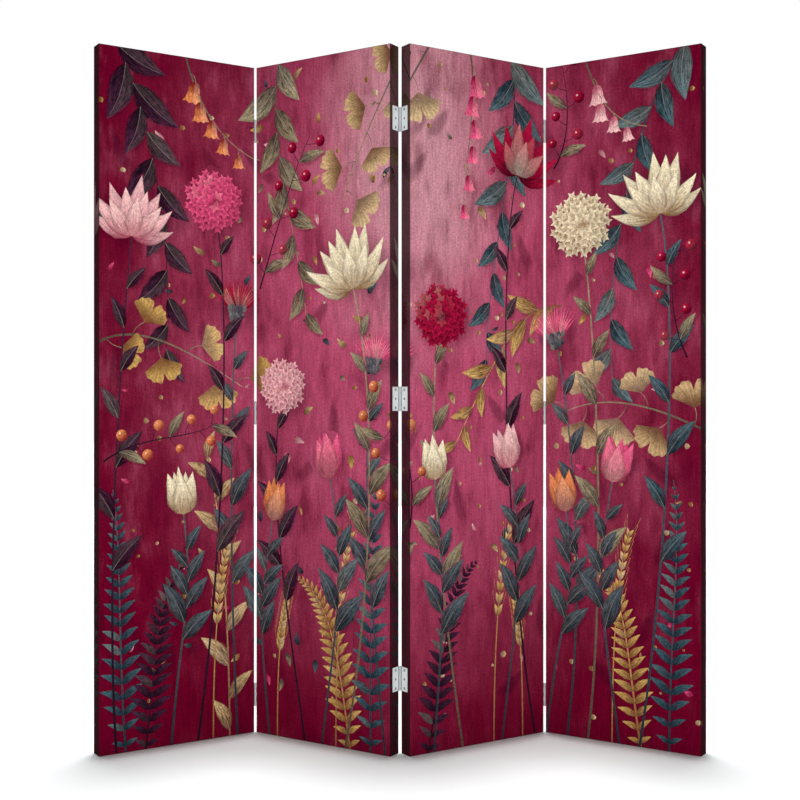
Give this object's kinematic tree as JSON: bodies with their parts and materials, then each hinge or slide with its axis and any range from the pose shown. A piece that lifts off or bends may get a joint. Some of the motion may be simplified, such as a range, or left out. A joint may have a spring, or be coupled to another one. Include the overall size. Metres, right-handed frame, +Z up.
{
  "type": "folding screen",
  "caption": "Free-standing folding room divider of printed canvas panels on wooden frames, joined edge to edge by butt hinges and standing in a zigzag.",
  "frame": {"origin": "on the floor, at the middle of the screen's width and depth as it stands in the picture", "axes": "+Z up, +X to the viewer's right along the screen, +Y from the printed front to the back"},
  "size_m": [1.3002, 0.2206, 1.5],
  "materials": {
    "printed_canvas": "matt printed canvas",
    "lining": "plain unbleached cloth",
    "pine": "planed, unfinished",
    "hinge_steel": "zinc-plated steel",
    "screw_steel": "zinc-plated steel",
    "staple_steel": "galvanised wire"
  },
  "bodies": {
    "panel_1": {"panel_1_left_stile": "pine", "panel_1_right_stile": "pine", "panel_1_bottom_rail": "pine", "panel_1_middle_rail": "pine", "panel_1_top_rail": "pine", "panel_1_printed_canvas": "printed_canvas", "panel_1_back_lining": "lining", "panel_1_staples": "staple_steel", "panel_1_hinge_screws": "screw_steel", "left_hinge_low_three_knuckle_leaf": "hinge_steel", "left_hinge_middle_three_knuckle_leaf": "hinge_steel", "left_hinge_high_three_knuckle_leaf": "hinge_steel", "left_hinge_pins": "hinge_steel"},
    "panel_2": {"panel_2_left_stile": "pine", "panel_2_right_stile": "pine", "panel_2_bottom_rail": "pine", "panel_2_middle_rail": "pine", "panel_2_top_rail": "pine", "panel_2_printed_canvas": "printed_canvas", "panel_2_back_lining": "lining", "panel_2_staples": "staple_steel", "panel_2_hinge_screws": "screw_steel", "left_hinge_low_two_knuckle_leaf": "hinge_steel", "left_hinge_middle_two_knuckle_leaf": "hinge_steel", "left_hinge_high_two_knuckle_leaf": "hinge_steel", "middle_hinge_low_three_knuckle_leaf": "hinge_steel", "middle_hinge_middle_three_knuckle_leaf": "hinge_steel", "middle_hinge_high_three_knuckle_leaf": "hinge_steel", "middle_hinge_pins": "hinge_steel"},
    "panel_3": {"panel_3_left_stile": "pine", "panel_3_right_stile": "pine", "panel_3_bottom_rail": "pine", "panel_3_middle_rail": "pine", "panel_3_top_rail": "pine", "panel_3_printed_canvas": "printed_canvas", "panel_3_back_lining": "lining", "panel_3_staples": "staple_steel", "panel_3_hinge_screws": "screw_steel", "middle_hinge_low_two_knuckle_leaf": "hinge_steel", "middle_hinge_middle_two_knuckle_leaf": "hinge_steel", "middle_hinge_high_two_knuckle_leaf": "hinge_steel", "right_hinge_low_three_knuckle_leaf": "hinge_steel", "right_hinge_middle_three_knuckle_leaf": "hinge_steel", "right_hinge_high_three_knuckle_leaf": "hinge_steel", "right_hinge_pins": "hinge_steel"},
    "panel_4": {"panel_4_left_stile": "pine", "panel_4_right_stile": "pine", "panel_4_bottom_rail": "pine", "panel_4_middle_rail": "pine", "panel_4_top_rail": "pine", "panel_4_printed_canvas": "printed_canvas", "panel_4_back_lining": "lining", "panel_4_staples": "staple_steel", "panel_4_hinge_screws": "screw_steel", "right_hinge_low_two_knuckle_leaf": "hinge_steel", "right_hinge_middle_two_knuckle_leaf": "hinge_steel", "right_hinge_high_two_knuckle_leaf": "hinge_steel"}
  },
  "joints": [
    {"name": "left_fold", "type": "hinge", "parent": "panel_2", "child": "panel_1", "pos_m": [-0.32672, 0.08352, 0], "axis": [0, 0, 1], "range_deg": [-65, 115]},
    {"name": "middle_fold", "type": "hinge", "parent": "panel_2", "child": "panel_3", "pos_m": [0, -0.08277, 0], "axis": [0, 0, 1], "range_deg": [-65, 115]},
    {"name": "right_fold", "type": "hinge", "parent": "panel_3", "child": "panel_4", "pos_m": [0.32672, 0.08352, 0], "axis": [0, 0, -1], "range_deg": [-65, 115]}
  ]
}
